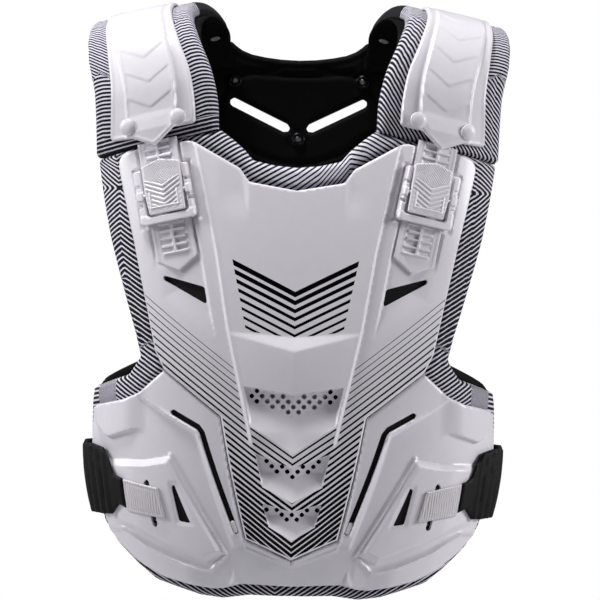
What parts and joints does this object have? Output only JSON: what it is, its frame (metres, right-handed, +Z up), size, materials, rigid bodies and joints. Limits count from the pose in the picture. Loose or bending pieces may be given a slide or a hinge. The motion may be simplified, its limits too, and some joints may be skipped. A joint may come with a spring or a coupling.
{
  "type": "roost deflector",
  "caption": "Moulded chest and back guard over foam and striped cloth, with arched shoulder pads, ratchet buckles on ladder straps and elastic waist straps.",
  "frame": {"origin": "midway between the shoulder pads, level with the top of the wearer's shoulders", "axes": "+Z up as worn, the chest faces -Y, and +X runs to the viewer's right, which is the wearer's left"},
  "size_m": [0.38, 0.2428, 0.5272],
  "materials": {
    "white_moulded_plastic": "glossy moulded white",
    "striped_cloth": "woven cloth with black and pale stripes over foam",
    "black_foam": "embossed closed-cell foam, matt",
    "black_mesh": "open woven mesh",
    "black_elastic": "ribbed elastic",
    "white_textured_rubber": "fine ribbed, matt",
    "blackened_metal": "dark with a worn bright centre",
    "grey_plastic": "matt grey"
  },
  "bodies": {
    "guard": {"back_plate": "white_moulded_plastic", "belly_plate": "white_moulded_plastic", "chest_plate": "white_moulded_plastic", "buckle_base_left": "white_moulded_plastic", "buckle_base_right": "white_moulded_plastic", "buckle_pin_left": "white_moulded_plastic", "buckle_pin_right": "white_moulded_plastic", "cap_snap_inner_left": "white_moulded_plastic", "cap_snap_inner_right": "white_moulded_plastic", "cap_snap_outer_left": "white_moulded_plastic", "cap_snap_outer_right": "white_moulded_plastic", "ladder_strap_left": "white_moulded_plastic", "ladder_strap_right": "white_moulded_plastic", "shoulder_cap_left": "white_moulded_plastic", "shoulder_cap_right": "white_moulded_plastic", "chest_liner": "striped_cloth", "shoulder_pad_left": "striped_cloth", "shoulder_pad_right": "striped_cloth", "back_liner": "black_foam", "shoulder_lining_left": "black_foam", "shoulder_lining_right": "black_foam", "window_mesh_left": "black_mesh", "window_mesh_right": "black_mesh", "waist_strap_left": "black_elastic", "waist_strap_right": "black_elastic", "strap_tab_left": "white_textured_rubber", "strap_tab_right": "white_textured_rubber", "back_snap_centre": "blackened_metal", "back_snap_left": "blackened_metal", "back_snap_right": "blackened_metal", "lining_eyelet_left": "grey_plastic", "lining_eyelet_right": "grey_plastic"},
    "lever_left": {"buckle_lever_left": "white_moulded_plastic"},
    "lever_right": {"buckle_lever_right": "white_moulded_plastic"}
  },
  "joints": [
    {"name": "lever_left_hinge", "type": "hinge", "parent": "guard", "child": "lever_left", "pos_m": [-0.11597, -0.10209, -0.1615], "axis": [0.9326, -0.2993, 0.2016], "range_deg": [0, 12], "stiffness_Nm_per_rad": 0.05, "springref_deg": -5.73},
    {"name": "lever_right_hinge", "type": "hinge", "parent": "guard", "child": "lever_right", "pos_m": [0.11597, -0.10209, -0.1615], "axis": [0.9326, 0.2993, -0.2016], "range_deg": [0, 12], "stiffness_Nm_per_rad": 0.05, "springref_deg": -5.73}
  ]
}
